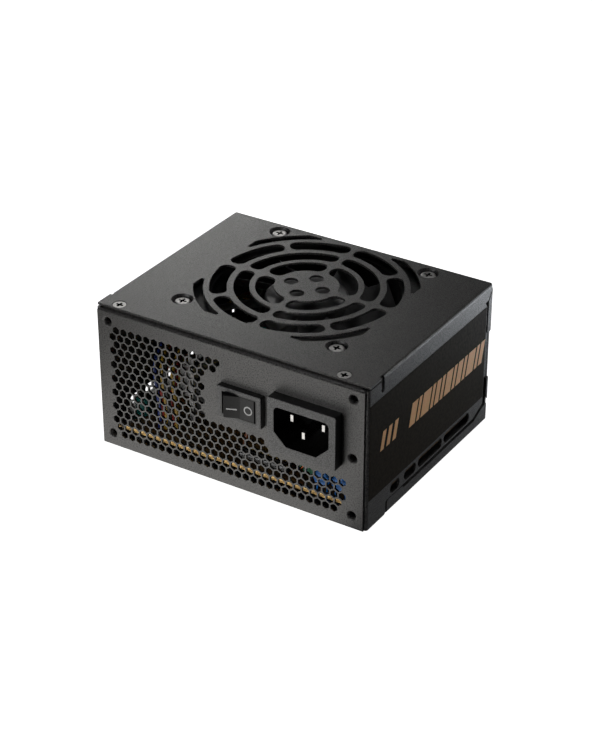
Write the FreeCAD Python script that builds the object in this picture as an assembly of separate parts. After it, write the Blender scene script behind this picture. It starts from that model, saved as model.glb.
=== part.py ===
import FreeCAD, Part
import math
import os

# Compact computer power supply, SFX form factor. Millimetres.
# Origin: centre of the case's bottom face. +Z is up, the AC panel faces -Y, the fan grille is on top.

# ---- case -------------------------------------------------------------------------------------
CASE_X = 125.0
CASE_Y = 100.0
CASE_Z = 63.5
SHEET = 1.0
HALF_X = CASE_X / 2
HALF_Y = CASE_Y / 2
BEND = 1.2                      # outside radius of the folds
WALL_IN = HALF_X - SHEET        # inner face of the side walls
TOP_UNDER = CASE_Z - SHEET      # underside of the top sheet
PANEL_FRONT = -HALF_Y           # outer face of the AC panel
PANEL_BACK = PANEL_FRONT + SHEET
TOP_FRONT = PANEL_FRONT + 2.2   # front edge of the top sheet
WALL_FRONT = PANEL_FRONT + 1.05  # front edge of the side walls
TOP_REAR = HALF_Y - 0.3

# ---- fan and its grille -----------------------------------------------------------------------
FAN_X = 0.0
FAN_Y = 8.0
FAN_SIZE = 80.0
FAN_DEPTH = 15.0
FAN_SCREW = 71.5                # square of the four fan screws
DIMPLE_DEPTH = 2.2
FAN_TOP = CASE_Z - DIMPLE_DEPTH - SHEET
FAN_LOW = FAN_TOP - FAN_DEPTH
WEB = 2.3                       # webs between the grille's slots
GRILLE_RINGS = ((13.2, 20.8, 4, 3.4), (23.1, 29.5, 4, 2.9), (32.1, 39.2, 8, 3.2))
CORNER_RING = (41.6, 45.6)
CORNER_SPAN = (16.8, 39.6)      # nearest and farthest from the fan's centre lines
HUB_HOLES = (7.4, 3.0)          # distance from the centre, radius
BORE_R = 38.2
HUB_R = 17.0
BLADE_TIP_R = 37.3
BLADES = 9
BLADE_PHASE = -9.5
SHAFT_R = 1.5

# ---- AC panel ---------------------------------------------------------------------------------
PANEL_HALF = 61.3
PANEL_FLANGE = 59.1             # half width of the panel's inward top flange
PANEL_TOP = 62.3
SCREW_SPAN_X = 113.0
SCREW_SPAN_Z = 51.5
SCREW_MID_Z = 31.75
TAPPED_R = 1.65                 # 6-32 UNC
HEX_FLATS = 3.0
HEX_PITCH = 3.67
HEX_ROW = HEX_PITCH * math.sqrt(3) / 2
HEX_TOP_Z = 54.5
HEX_EVEN_X = -52.4
HEX_ROWS = [14] * 2 + [12] * 7 + [20] * 2 + [30, 29, 30, 29, 28]

# ---- inlet and switch -------------------------------------------------------------------------
INLET = (36.6, 38.6)            # x, z of its centre
INLET_BEZEL = (30.5, 23.5, 4.8)
INLET_OPENING = (24.5, 16.5, 16.5)
INLET_CHAMFER = (5.6, 5.4)      # lower corners of the opening, along x and z
PIN_SPACING = 14.0
SWITCH = (7.2, 39.8)
SWITCH_BEZEL = (20.4, 14.2, 2.8)
SWITCH_OPENING = (15.5, 10.0)
ROCKER_R = 7.6
ROCKER_TILT = 11.0              # either side of the middle; the model stands at OFF
PIVOT_Y = PANEL_FRONT - SWITCH_BEZEL[2] + 3.0
LEVER_Y = PIVOT_Y + 7.3
LEVER_TILT = 6.0

# ---- boards -----------------------------------------------------------------------------------
BOARD_LOW = 7.2
BOARD = 8.8                     # top of the main board
BOARD_X = 59.6
BOARD_FRONT = -46.5
BOARD_REAR = 36.5
BACKPLANE_Y = 37.4              # front face of the connector board
BACKPLANE_T = 1.6
SOCKET_REAR = HALF_Y + 0.6
SOCKET_PITCH = 4.2
# columns and centre (x, z) of each socket in the rear panel; every socket has two rows
SOCKETS = (
    (9, -26.0, 33.6), (5, 9.5, 33.6), (4, 35.5, 33.6),
    (4, -38.5, 17.0), (4, -14.5, 17.0), (3, 8.0, 17.0), (3, 28.5, 17.0),
)

# ---- main components: centre x, y and size ----------------------------------------------------
TRANSFORMER = (4.0, -10.0)
STANDBY = (0.0, 18.0)
PFC = (51.0, 17.0)
PFC_RADII = (13.5, 6.0, 9.0)    # outer radius, inner radius, width of the core
EMI = (31.5, -36.5)
EMI_RADII = (7.2, 3.8, 6.0)
OUTPUT_CHOKE = (-46.0, -4.0)
OUTPUT_RADII = (10.0, 5.0, 8.0)
BULK = (24.5, 22.5, 12.5, 35.0)
OUTPUT_CAPS = ((-52.0, -34.5, 3.2, 8.0), (-20.5, 13.0, 5.0, 20.0), (-20.5, 25.0, 5.0, 20.0),
               (-32.0, 15.0, 5.0, 20.0), (-32.0, 27.0, 5.0, 20.0), (-44.0, 14.5, 5.0, 20.0),
               (-44.0, 26.5, 5.0, 20.0))
PRIMARY_SINK_X = 32.0
SECONDARY_SINK_X = -31.5


# ---- helpers ----------------------------------------------------------------------------------
def vec(x, y, z):
    return FreeCAD.Vector(x, y, z)


def along(axis, u, v, w):
    """The point with cross-section coordinates u, v, at w along the axis."""
    if axis == "x":
        return vec(w, u, v)
    if axis == "y":
        return vec(u, w, v)
    return vec(u, v, w)


def box(x0, x1, y0, y1, z0, z1):
    return Part.makeBox(x1 - x0, y1 - y0, z1 - z0, vec(x0, y0, z0))


def prism(axis, points, low, high):
    """A straight prism along an axis, from its outline in the other two coordinates."""
    outline = [along(axis, u, v, low) for u, v in points]
    wire = Part.makePolygon(outline + outline[:1])
    return Part.Face(wire).extrude(along(axis, 0, 0, high - low))


def rod(axis, u, v, low, high, radius):
    return Part.makeCylinder(radius, high - low, along(axis, u, v, low), along(axis, 0, 0, 1))


def pipe(axis, u, v, low, high, outer, inner):
    return rod(axis, u, v, low, high, outer).cut(rod(axis, u, v, low - 1, high + 1, inner))


def cone(axis, u, v, low, high, r_low, r_high):
    return Part.makeCone(r_low, r_high, high - low, along(axis, u, v, low), along(axis, 0, 0, 1))


def fuse(shapes):
    return shapes[0].multiFuse(shapes[1:]).removeSplitter()


def cut(shape, tools):
    return shape.cut(Part.makeCompound(tools))


def turned(shape, centre, axis, degrees):
    copy = shape.copy()
    copy.rotate(centre, axis, degrees)
    return copy


def moved(shape, x, y, z):
    copy = shape.copy()
    copy.translate(vec(x, y, z))
    return copy


def mirrored(shape):
    """The same shape on the other side of the case."""
    return shape.mirror(vec(0, 0, 0), vec(1, 0, 0))


def both_sides(shape):
    return [shape, mirrored(shape)]


def rounding(axis, u, v, du, dv, radius, low, high):
    """What to cut away to round an outside edge at u, v; du, dv point into the material."""
    over = 0.4
    points = [(u - du * over, v - dv * over), (u + du * radius, v - dv * over),
              (u + du * radius, v + dv * radius), (u - du * over, v + dv * radius)]
    core = rod(axis, u + du * radius, v + dv * radius, low - 1, high + 1, radius)
    return prism(axis, points, low, high).cut(core)


def straight_edges(shape, axis):
    """The shape's straight edges that run along an axis."""
    direction = along(axis, 0, 0, 1)
    found = []
    for edge in shape.Edges:
        if len(edge.Vertexes) == 2 and edge.Curve.TypeId == "Part::GeomLine":
            run = edge.Vertexes[1].Point - edge.Vertexes[0].Point
            if abs(abs(run.normalize().dot(direction)) - 1) < 1e-6:
                found.append(edge)
    return found


def rounded_box(x0, x1, y0, y1, z0, z1, axis, radius):
    """A box whose four edges along an axis are rounded."""
    block = box(x0, x1, y0, y1, z0, z1)
    return block.makeFillet(radius, straight_edges(block, axis))


def cord(points, radius):
    """A wire: straight runs joined by tangent arcs as large as the runs allow."""
    edges = []
    start = points[0]
    for before, here, after in zip(points, points[1:], points[2:]):
        run_in = here - before
        run_out = after - here
        reach = 0.45 * min(run_in.Length, run_out.Length)
        run_in.normalize()
        run_out.normalize()
        half_turn = math.acos(max(-1.0, min(1.0, run_in.dot(run_out)))) / 2
        bend = reach / math.tan(half_turn)
        to_centre = (run_out - run_in).normalize()
        middle = here + to_centre * (bend / math.cos(half_turn) - bend)
        edges.append(Part.LineSegment(start, here - run_in * reach).toShape())
        edges.append(Part.Arc(here - run_in * reach, middle, here + run_out * reach).toShape())
        start = here + run_out * reach
    edges.append(Part.LineSegment(start, points[-1]).toShape())
    path = Part.Wire(edges)
    section = Part.Wire([Part.makeCircle(radius, points[0], points[1] - points[0])])
    solid = path.makePipeShell([section], True, True)
    expected = math.pi * radius ** 2 * path.Length
    if abs(solid.Volume - expected) > 0.02 * expected:
        print("cord volume", solid.Volume, "expected", expected)
    return solid


# ---- case -------------------------------------------------------------------------------------
def fan_corners():
    half = FAN_SCREW / 2
    return [(FAN_X + sx * half, FAN_Y + sy * half) for sx in (-1, 1) for sy in (-1, 1)]


def ring_slots(inner, outer, webs, corner):
    """One ring of grille slots with rounded ends, cut by straight webs."""
    ring = pipe("z", FAN_X, FAN_Y, TOP_UNDER - 1, CASE_Z + 1, outer, inner)
    bars = []
    for index in range(webs // 2):
        bar = box(FAN_X - 60, FAN_X + 60, FAN_Y - WEB / 2, FAN_Y + WEB / 2, 0, 100)
        bars.append(turned(bar, vec(FAN_X, FAN_Y, 0), vec(0, 0, 1), index * 360 / webs))
    return [slot.makeFillet(corner, straight_edges(slot, "z")) for slot in cut(ring, bars).Solids]


def grille_openings():
    openings = []
    for inner, outer, webs, corner in GRILLE_RINGS:
        openings += ring_slots(inner, outer, webs, corner)
    outer_ring = pipe("z", FAN_X, FAN_Y, TOP_UNDER - 1, CASE_Z + 1, CORNER_RING[1], CORNER_RING[0])
    near, far = CORNER_SPAN
    window = box(FAN_X + near, FAN_X + far, FAN_Y + near, FAN_Y + far, 0, 100)
    for quarter in range(4):
        slot = outer_ring.common(turned(window, vec(FAN_X, FAN_Y, 0), vec(0, 0, 1), quarter * 90))
        openings.append(slot.makeFillet(0.3, straight_edges(slot, "z")))
    reach, radius = HUB_HOLES
    for dx, dy in ((reach, 0), (-reach, 0), (0, reach), (0, -reach)):
        openings.append(rod("z", FAN_X + dx, FAN_Y + dy, TOP_UNDER - 1, CASE_Z + 1, radius))
    return openings


TOP_SCREWS = ((-54.1, -44.7), (49.3, -44.7))
REAR_SCREWS = ((-51.0, 57.0), (51.0, 57.0))
COUNTERSINK = (2.95, 1.95)       # radius at the face and at the sheet's other side

SLOT_Y = (-39.6, -37.5)         # relief slot at the front end of the top's side folds
SLOT_BOTTOM = 58.0
SIDE_REAR = 45.0
SIDE_LOW = 6.3
VENT_Z = (7.2, 11.9)
VENTS_Y = ((-31.2, -23.8), (-20.4, -10.9), (-9.4, 10.3), (11.7, 33.4))


def side_wall():
    """Right side wall: its front part reaches the bottom, its rear end is stepped and slanted."""
    outline = [(WALL_FRONT, 0.3), (-34.6, 0.3), (-34.6, 5.4), (-33.7, SIDE_LOW), (36.6, SIDE_LOW),
               (SIDE_REAR, 9.7), (SIDE_REAR, 54.8), (43.4, 57.3), (45.9, 57.5), (49.1, 61.8),
               (49.1, TOP_UNDER + 0.2), (SLOT_Y[1] - 0.4, TOP_UNDER + 0.2), (SLOT_Y[1] - 0.4, 61.9),
               (WALL_FRONT, 61.9)]
    wall = prism("x", outline, WALL_IN, HALF_X)
    front_return = box(59.3, HALF_X, WALL_FRONT, WALL_FRONT + SHEET, 0.3, 61.9)
    return fuse([wall, front_return])


def side_cuts():
    middle = (SLOT_Y[0] + SLOT_Y[1]) / 2
    half = (SLOT_Y[1] - SLOT_Y[0]) / 2
    cuts = [box(WALL_IN - 0.05, HALF_X + 1, SLOT_Y[0], SLOT_Y[1], SLOT_BOTTOM, CASE_Z + 1),
            rod("x", middle, SLOT_BOTTOM, WALL_IN - 0.05, HALF_X + 1, half),
            rounding("x", -34.6, 0.3, -1, 1, 1.0, WALL_IN - 1, HALF_X + 1),
            rounding("z", HALF_X, WALL_FRONT, -1, 1, BEND, 0, 61.95),
            rounding("y", HALF_X, CASE_Z, -1, -1, BEND, SLOT_Y[1], TOP_REAR + 1),
            rounding("z", HALF_X, TOP_REAR, -1, -1, 1.5, 61.9, CASE_Z + 1)]
    vent_mid = sum(VENT_Z) / 2
    vent_r = (VENT_Z[1] - VENT_Z[0]) / 2
    for front, rear in VENTS_Y:
        cuts.append(box(WALL_IN - 1, HALF_X + 1, front + vent_r, rear - vent_r, *VENT_Z))
        cuts.append(rod("x", front + vent_r, vent_mid, WALL_IN - 1, HALF_X + 1, vent_r))
        cuts.append(rod("x", rear - vent_r, vent_mid, WALL_IN - 1, HALF_X + 1, vent_r))
    return cuts


def rear_ears():
    """Down-turned ears behind the fan that take the rear screws."""
    ears = []
    for x, z in REAR_SCREWS:
        ear = box(x - 6, x + 6, 47.7, 48.7, z - 4.5, TOP_UNDER + 0.2)
        ears.append(ear.cut(rod("y", x, z, 40, 50, 1.5)))
    return ears


def cover():
    top = box(-HALF_X, HALF_X, TOP_FRONT, TOP_REAR, TOP_UNDER, CASE_Z)
    dimples = [cone("z", x, y, FAN_TOP, TOP_UNDER + 0.2, 4.4, 5.25) for x, y in fan_corners()]
    shell = fuse([top] + both_sides(side_wall()) + dimples + rear_ears())
    cuts = grille_openings()
    for x, y in fan_corners():
        cuts.append(cone("z", x, y, FAN_TOP + SHEET, CASE_Z + 0.01, 3.7, 4.5))
        cuts.append(rod("z", x, y, FAN_TOP - 1, CASE_Z, 2.2))
    for x, y in TOP_SCREWS:
        cuts.append(cone("z", x, y, TOP_UNDER, CASE_Z, COUNTERSINK[1], COUNTERSINK[0]))
    cuts += side_cuts() + [mirrored(tool) for tool in side_cuts()]
    return cut(shell, cuts)


def hexagon(x, z):
    radius = HEX_FLATS / math.sqrt(3)
    angles = [math.radians(90 + 60 * k) for k in range(6)]
    corners = [vec(x + radius * math.cos(a), PANEL_FRONT, z + radius * math.sin(a)) for a in angles]
    return Part.makePolygon(corners + corners[:1])


def honeycomb():
    """Wires of all hexagonal holes; odd rows stand half a pitch to the left of even rows."""
    wires = []
    for row, count in enumerate(HEX_ROWS):
        x = HEX_EVEN_X - (row % 2) * HEX_PITCH / 2
        if row == len(HEX_ROWS) - 1:
            x += HEX_PITCH
        z = HEX_TOP_Z - row * HEX_ROW
        wires += [hexagon(x + k * HEX_PITCH, z) for k in range(count)]
    return wires


def panel_screws():
    low = SCREW_MID_Z - SCREW_SPAN_Z / 2
    high = SCREW_MID_Z + SCREW_SPAN_Z / 2
    half = SCREW_SPAN_X / 2
    return [(-half, low), (half, low), (-half, high), (half, high), (half, SCREW_MID_Z)]


def ac_panel():
    edge = 0.7
    outline = [(-PANEL_HALF, 0.0), (PANEL_HALF, 0.0), (PANEL_HALF, PANEL_TOP - edge),
               (PANEL_HALF - edge, PANEL_TOP), (edge - PANEL_HALF, PANEL_TOP),
               (-PANEL_HALF, PANEL_TOP - edge)]
    corners = [vec(x, PANEL_FRONT, z) for x, z in outline]
    face = Part.makeFace([Part.makePolygon(corners + corners[:1])] + honeycomb(),
                         "Part::FaceMakerBullseye")
    plate = face.extrude(vec(0, SHEET, 0))
    ears = [box(-PANEL_FLANGE, PANEL_FLANGE, PANEL_FRONT + 0.2, PANEL_FRONT + 4.5,
                PANEL_TOP - SHEET, PANEL_TOP)]
    for x, y in TOP_SCREWS:
        ears.append(box(x - 5, x + 5, PANEL_FRONT + 4.4, y + 4.7, PANEL_TOP - SHEET, PANEL_TOP))
    necks = [rod("y", x, z, PANEL_BACK - 0.2, PANEL_BACK + 1.4, 2.45) for x, z in panel_screws()]
    plate = fuse([plate] + ears + necks)
    cuts = [rounding("x", PANEL_FRONT, 0.0, 1, 1, 0.9, -70, 70),
            rounding("x", PANEL_FRONT, PANEL_TOP, 1, -1, 0.95, -70, 70)]
    cuts.append(window_cut(INLET, INLET_OPENING[0] + 3.2, INLET_OPENING[1] + 3.2))
    cuts.append(window_cut(SWITCH, SWITCH_OPENING[0] + 3.4, SWITCH_OPENING[1] + 2.8))
    for x, z in panel_screws():
        cuts.append(rod("y", x, z, PANEL_FRONT - 1, PANEL_BACK + 3, TAPPED_R))
        cuts.append(cone("y", x, z, PANEL_FRONT - 0.01, PANEL_FRONT + 0.5, TAPPED_R + 0.6, TAPPED_R))
    for x, y in TOP_SCREWS:
        cuts.append(rod("z", x, y, 60, 63, 1.5))
    return cut(plate, cuts)


def window_cut(centre, width, height):
    x, z = centre
    return box(x - width / 2, x + width / 2, PANEL_FRONT - 1, PANEL_BACK + 1,
               z - height / 2, z + height / 2)


FLANGE_FRONT = -33.5


def tray_side():
    """Low side flange and the three rear tabs of one side of the tray."""
    flange = prism("x", [(FLANGE_FRONT, 0), (FLANGE_FRONT, 5.2), (FLANGE_FRONT + 0.7, 5.9), (-21.3, 5.9),
                         (-20.6, 4.7), (37.7, 4.7), (46.9, 8.4), (48.2, 8.4), (HALF_Y - 0.5, 7.1),
                         (HALF_Y - 0.5, 0)], WALL_IN, HALF_X)
    upper = prism("x", [(46.4, 42.4), (HALF_Y, 42.4), (HALF_Y, 61.5), (46.4, 57.0)], WALL_IN, HALF_X)
    lower = prism("x", [(47.9, 20.2), (47.9, 11.6), (HALF_Y, 9.6), (HALF_Y, 20.2)], WALL_IN, HALF_X)
    tucked = box(WALL_IN - 1.1, WALL_IN - 0.1, 40.5, HALF_Y - 0.2, 20.2, 42.4)
    step = box(WALL_IN - 1.1, WALL_IN + 0.4, 47.9, HALF_Y - 0.2, 41.4, 42.6)
    return fuse([flange, upper, lower, tucked, step])


def socket_size(columns):
    return columns * SOCKET_PITCH + 1.4, 2 * SOCKET_PITCH + 1.6


def base_tray():
    half_outline = [(59.1, PANEL_BACK), (59.1, -47.7), (61.35, -47.7), (61.35, FLANGE_FRONT - 0.6),
                    (WALL_IN + 0.05, FLANGE_FRONT - 0.6), (WALL_IN + 0.05, HALF_Y)]
    floor = prism("z", half_outline + [(-x, y) for x, y in reversed(half_outline)], 0, SHEET)
    lip = box(-53.5, 53.5, PANEL_BACK, PANEL_BACK + SHEET, 0, 4.6)
    rear = box(-WALL_IN - 0.05, WALL_IN + 0.05, HALF_Y - SHEET, HALF_Y, 0, TOP_UNDER - 0.15)
    floor_side = box(WALL_IN - 0.5, HALF_X, FLANGE_FRONT, HALF_Y - 0.5, 0, SHEET)
    tray = fuse([floor, lip, rear] + both_sides(floor_side) + both_sides(tray_side()))
    cuts = [rounding("x", HALF_Y, 0, -1, 1, 1.0, -70, 70)]
    side = [rounding("y", HALF_X, 0, -1, 1, 1.0, FLANGE_FRONT - 1, HALF_Y + 1),
            rounding("z", HALF_X, HALF_Y, -1, -1, 1.0, 9, 62),
            rounding("z", HALF_X, HALF_Y - 0.5, -1, -1, 1.0, -1, 9)]
    cuts += side + [mirrored(tool) for tool in side]
    for columns, x, z in SOCKETS:
        width, height = socket_size(columns)
        cuts.append(box(x - width / 2 - 0.2, x + width / 2 + 0.2, 45, 55,
                        z - height / 2 - 0.2, z + height / 2 + 0.2))
        cuts.append(box(x - 2.2, x + 2.2, 45, 55, z, z + height / 2 + 2.3))
    for x, z in REAR_SCREWS:
        cuts.append(cone("y", x, z, HALF_Y - SHEET, HALF_Y, COUNTERSINK[1], COUNTERSINK[0]))
    for x, y in board_screw_places():
        cuts.append(rod("z", x, y, -1, 2, 1.5))
    return cut(tray, cuts)


def side_label():
    label = box(HALF_X, HALF_X + 0.12, -47.75, SIDE_REAR - 0.4, 13.2, 55.0)
    return label.makeFillet(0.4, straight_edges(label, "x"))


def insulation_sheet():
    sheet = box(-60.5, 60.5, -46.8, 48.0, SHEET + 0.1, SHEET + 0.4)
    holes = [rod("z", x, y, 0, 3, 2.9) for x, y in board_screw_places()]
    return cut(sheet, holes)


# ---- screws -----------------------------------------------------------------------------------
RECESS_DEPTH = 1.7
RECESS_ARM = 1.04               # width of each arm of the cross


def cross_recess(face, reach):
    """Cross-shaped recess below z = face, tapering inwards, about the Z axis."""
    low = face - RECESS_DEPTH
    narrow = reach * 0.45
    blade = prism("y", [(-reach, face + 0.02), (-narrow, low), (narrow, low), (reach, face + 0.02)],
                  -RECESS_ARM / 2, RECESS_ARM / 2)
    return blade.fuse(turned(blade, vec(0, 0, 0), vec(0, 0, 1), 90))


def flat_screw():
    """Countersunk M3 screw with the face of its head at z = 0."""
    head = cone("z", 0, 0, -1.05, 0, 1.5, 2.65)
    shank = rod("z", 0, 0, -6.0, -1.0, 1.4)
    return fuse([head, shank]).cut(cross_recess(0, 1.7))


def pan_screw(head_r, head_h, shank_r, length):
    """Pan head screw with the underside of its head at z = 0."""
    head = rod("z", 0, 0, 0, head_h, head_r)
    rim = [edge for edge in head.Edges if abs(edge.BoundBox.ZMin - head_h) < 1e-6]
    head = head.makeFillet(head_h * 0.6, rim[:1])
    shank = rod("z", 0, 0, -length, 0.1, shank_r)
    return fuse([head, shank]).cut(cross_recess(head_h, head_r * 0.55))


def cover_screws():
    screws = [moved(flat_screw(), x, y, CASE_Z - 0.15) for x, y in TOP_SCREWS]
    laid = turned(flat_screw(), vec(0, 0, 0), vec(1, 0, 0), -90)
    screws += [moved(laid, x, HALF_Y - 0.15, z) for x, z in REAR_SCREWS]
    return Part.makeCompound(screws)


def fan_screws():
    screw = pan_screw(3.35, 1.4, 1.95, 10.0)
    return Part.makeCompound([moved(screw, x, y, FAN_TOP + SHEET) for x, y in fan_corners()])


def board_screw_places():
    return [(-53.5, -42.0), (53.5, -30.0), (-53.5, 32.0), (40.0, 33.5)]


def board_standoffs():
    posts = []
    for x, y in board_screw_places():
        post = rod("z", x, y, SHEET, BOARD_LOW, 2.6)
        pilot = rod("z", x, y, 0.0, SHEET + 0.1, 1.5)
        hole = rod("z", x, y, 0.2, BOARD_LOW + 1, 1.2)
        posts.append(fuse([post, pilot]).cut(hole))
    return Part.makeCompound(posts)


def board_screws():
    screw = pan_screw(2.6, 1.3, 1.15, 4.8)
    return Part.makeCompound([moved(screw, x, y, BOARD) for x, y in board_screw_places()])


# ---- mains inlet ------------------------------------------------------------------------------
def inlet_opening_outline():
    x, z = INLET
    half_x = INLET_OPENING[0] / 2
    half_z = INLET_OPENING[1] / 2
    cut_x, cut_z = INLET_CHAMFER
    return [(x - half_x + cut_x, z - half_z), (x + half_x - cut_x, z - half_z),
            (x + half_x, z - half_z + cut_z), (x + half_x, z + half_z),
            (x - half_x, z + half_z), (x - half_x, z - half_z + cut_z)]


def inlet_body():
    x, z = INLET
    width, height, proud = INLET_BEZEL
    front = PANEL_FRONT - proud
    bezel = rounded_box(x - width / 2, x + width / 2, front, PANEL_FRONT,
                        z - height / 2, z + height / 2, "y", 0.8)
    rim = [edge for edge in bezel.Edges if edge.BoundBox.YMax < front + 0.01]
    bezel = bezel.makeFillet(0.3, rim)
    half_x = INLET_OPENING[0] / 2 + 1.5
    half_z = INLET_OPENING[1] / 2 + 1.5
    rear = front + INLET_OPENING[2] + 1.8
    shell = box(x - half_x, x + half_x, PANEL_FRONT - 0.1, rear, z - half_z, z + half_z)
    latches = [prism("z", [(x + side * (half_x - 0.1), -48.9), (x + side * (half_x + 1.2), -48.9),
                           (x + side * (half_x - 0.1), -43.0)], z - 3, z + 3) for side in (-1, 1)]
    body = fuse([bezel, shell] + latches)
    cavity = prism("y", inlet_opening_outline(), front - 1, front + INLET_OPENING[2])
    upper = [edge for edge in straight_edges(cavity, "y") if edge.Vertexes[0].Z > z + 5]
    body = body.cut(cavity.makeFillet(2.2, upper))
    slots = [pin_slot(PIN_SPACING / 2, 2.2), pin_slot(-PIN_SPACING / 2, 2.2), pin_slot(0, -1.8)]
    return cut(body, slots)


def pin_slot(dx, dz):
    x, z = INLET
    return box(x + dx - 1.0, x + dx + 1.0, -40.0, -30.0, z + dz - 2.0, z + dz + 2.0)


def inlet_pin(dx, dz, tip):
    """A flat blade with its tip chamfered all round and a narrower solder tab behind the housing."""
    x, z = INLET
    x += dx
    z += dz
    blade = prism("z", [(x - 1.0, -36.5), (x - 1.0, tip + 1.0), (x - 0.6, tip), (x + 0.6, tip),
                        (x + 1.0, tip + 1.0), (x + 1.0, -36.5)], z - 2.0, z + 2.0)
    blade = blade.common(prism("x", [(-36.5, z - 2.0), (tip + 1.0, z - 2.0), (tip, z - 1.4), (tip, z + 1.4),
                                     (tip + 1.0, z + 2.0), (-36.5, z + 2.0)], x - 1.0, x + 1.0))
    tab = box(x - 0.4, x + 0.4, -36.6, -28.6, z - 2.0, z + 2.0)
    hole = rod("x", -30.6, z, x - 2, x + 2, 0.8)
    return fuse([blade, tab]).cut(hole)


def inlet_power_pins():
    half = PIN_SPACING / 2
    return Part.makeCompound([inlet_pin(-half, 2.2, PANEL_FRONT), inlet_pin(half, 2.2, PANEL_FRONT)])


def inlet_earth_pin():
    return inlet_pin(0, -1.8, PANEL_FRONT - 3.0)


# ---- rocker switch ----------------------------------------------------------------------------
def switch_body():
    x, z = SWITCH
    width, height, proud = SWITCH_BEZEL
    front = PANEL_FRONT - proud
    bezel = rounded_box(x - width / 2, x + width / 2, front, PANEL_FRONT,
                        z - height / 2, z + height / 2, "y", 0.8)
    rim = [edge for edge in bezel.Edges if edge.BoundBox.YMax < front + 0.01]
    bezel = bezel.makeFillet(0.6, rim)
    half_x = SWITCH_OPENING[0] / 2
    half_z = SWITCH_OPENING[1] / 2
    shell = box(x - half_x - 1.6, x + half_x + 1.6, PANEL_FRONT - 0.1, -37.0,
                z - half_z - 1.3, z + half_z + 1.3)
    body = fuse([bezel, shell])
    cavity = box(x - half_x, x + half_x, front - 1, -38.5, z - half_z, z + half_z)
    cuts = [cavity, rod("z", x, PIVOT_Y, z - half_z - 0.9, z + half_z + 0.9, 1.05)]
    for dx in (0.0, 5.5):
        cuts.append(box(x + dx - 0.4, x + dx + 0.4, -39.0, -36.0, z - 2.0, z + 2.0))
    return cut(body, cuts)


def rocker_outline():
    """Half-section corners of the rocker about its pivot: valley, end arc, underside."""
    high = math.radians(34.3)
    low = math.radians(-25.0)
    return [(ROCKER_R * math.cos(a), ROCKER_R * math.sin(a)) for a in (high, (high + low) / 2, low)]


def switch_rocker():
    x, z = SWITCH
    half = SWITCH_OPENING[1] / 2 - 0.2
    (ux, uw), (mx, mw), (lx, lw) = rocker_outline()

    def at(u, w):
        return vec(x + u, PIVOT_Y - w, z - half)

    edges = [Part.LineSegment(at(0, 3.1), at(ux, uw)).toShape(),
             Part.Arc(at(ux, uw), at(mx, mw), at(lx, lw)).toShape(),
             Part.LineSegment(at(lx, lw), at(-lx, lw)).toShape(),
             Part.Arc(at(-lx, lw), at(-mx, mw), at(-ux, uw)).toShape(),
             Part.LineSegment(at(-ux, uw), at(0, 3.1)).toShape()]
    block = Part.Face(Part.Wire(edges)).extrude(vec(0, 0, 2 * half))
    pins = rod("z", x, PIVOT_Y, z - half - 0.8, z + half + 0.8, 1.0)
    rocker = fuse([block, pins])
    rocker = rocker.cut(rod("y", x, z, PIVOT_Y + 1.0, PIVOT_Y + 5.0, 1.05))
    return turned(rocker, vec(x, PIVOT_Y, 0), vec(0, 0, 1), ROCKER_TILT)


def switch_plunger():
    """Spring-loaded plunger in the rocker's underside, drawn fully out."""
    x, z = SWITCH
    stem = rod("y", x, z, PIVOT_Y + 1.1, PIVOT_Y + 6.0, 1.0)
    tip = Part.makeSphere(1.0, vec(x, PIVOT_Y + 5.8, z))
    return turned(fuse([stem, tip]), vec(x, PIVOT_Y, 0), vec(0, 0, 1), ROCKER_TILT)


def switch_contact():
    """See-saw lever that rocks on the middle terminal."""
    x, z = SWITCH
    lever = box(x - 6.2, x + 6.2, LEVER_Y - 0.3, LEVER_Y + 0.3, z - 2.0, z + 2.0)
    button = rod("y", x + 5.5, z, LEVER_Y, LEVER_Y + 0.6, 1.1)
    return turned(fuse([lever, button]), vec(x, LEVER_Y, 0), vec(0, 0, 1), -LEVER_TILT)


def switch_terminals():
    x, z = SWITCH
    tabs = []
    for dx, top in ((0.0, LEVER_Y + 0.45), (5.5, LEVER_Y + 1.35)):
        tab = box(x + dx - 0.4, x + dx + 0.4, top, -29.6, z - 2.0, z + 2.0)
        tabs.append(tab.cut(rod("x", -31.4, z, x + dx - 2, x + dx + 2, 0.8)))
    return Part.makeCompound(tabs)


# ---- fan --------------------------------------------------------------------------------------
def fan_frame():
    half = FAN_SIZE / 2
    square = rounded_box(FAN_X - half, FAN_X + half, FAN_Y - half, FAN_Y + half,
                         FAN_LOW, FAN_TOP, "z", 4.0)
    waist = box(FAN_X - 60, FAN_X + 60, FAN_Y - 60, FAN_Y + 60, FAN_LOW + 3.5, FAN_TOP - 3.5)
    waist = waist.cut(rod("z", FAN_X, FAN_Y, FAN_LOW, FAN_TOP, half - 0.2))
    frame = square.cut(waist).cut(rod("z", FAN_X, FAN_Y, FAN_LOW - 1, FAN_TOP + 1, BORE_R))
    base = rod("z", FAN_X, FAN_Y, FAN_LOW, FAN_LOW + 2.0, 16.5)
    tube = rod("z", FAN_X, FAN_Y, FAN_LOW + 1.9, FAN_LOW + 9.6, 4.0)
    struts = []
    for angle in (30, 120, 210, 300):
        strut = box(FAN_X + 15, FAN_X + BORE_R + 0.8, FAN_Y - 1.8, FAN_Y + 1.8, FAN_LOW, FAN_LOW + 2.4)
        struts.append(turned(strut, vec(FAN_X, FAN_Y, 0), vec(0, 0, 1), angle))
    frame = fuse([frame, base, tube] + struts)
    cuts = [rod("z", FAN_X, FAN_Y, FAN_LOW + 0.8, FAN_LOW + 12, 3.0)]
    cuts += [rod("z", x, y, FAN_LOW - 1, FAN_TOP + 1, 2.05) for x, y in fan_corners()]
    return cut(frame, cuts)


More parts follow.
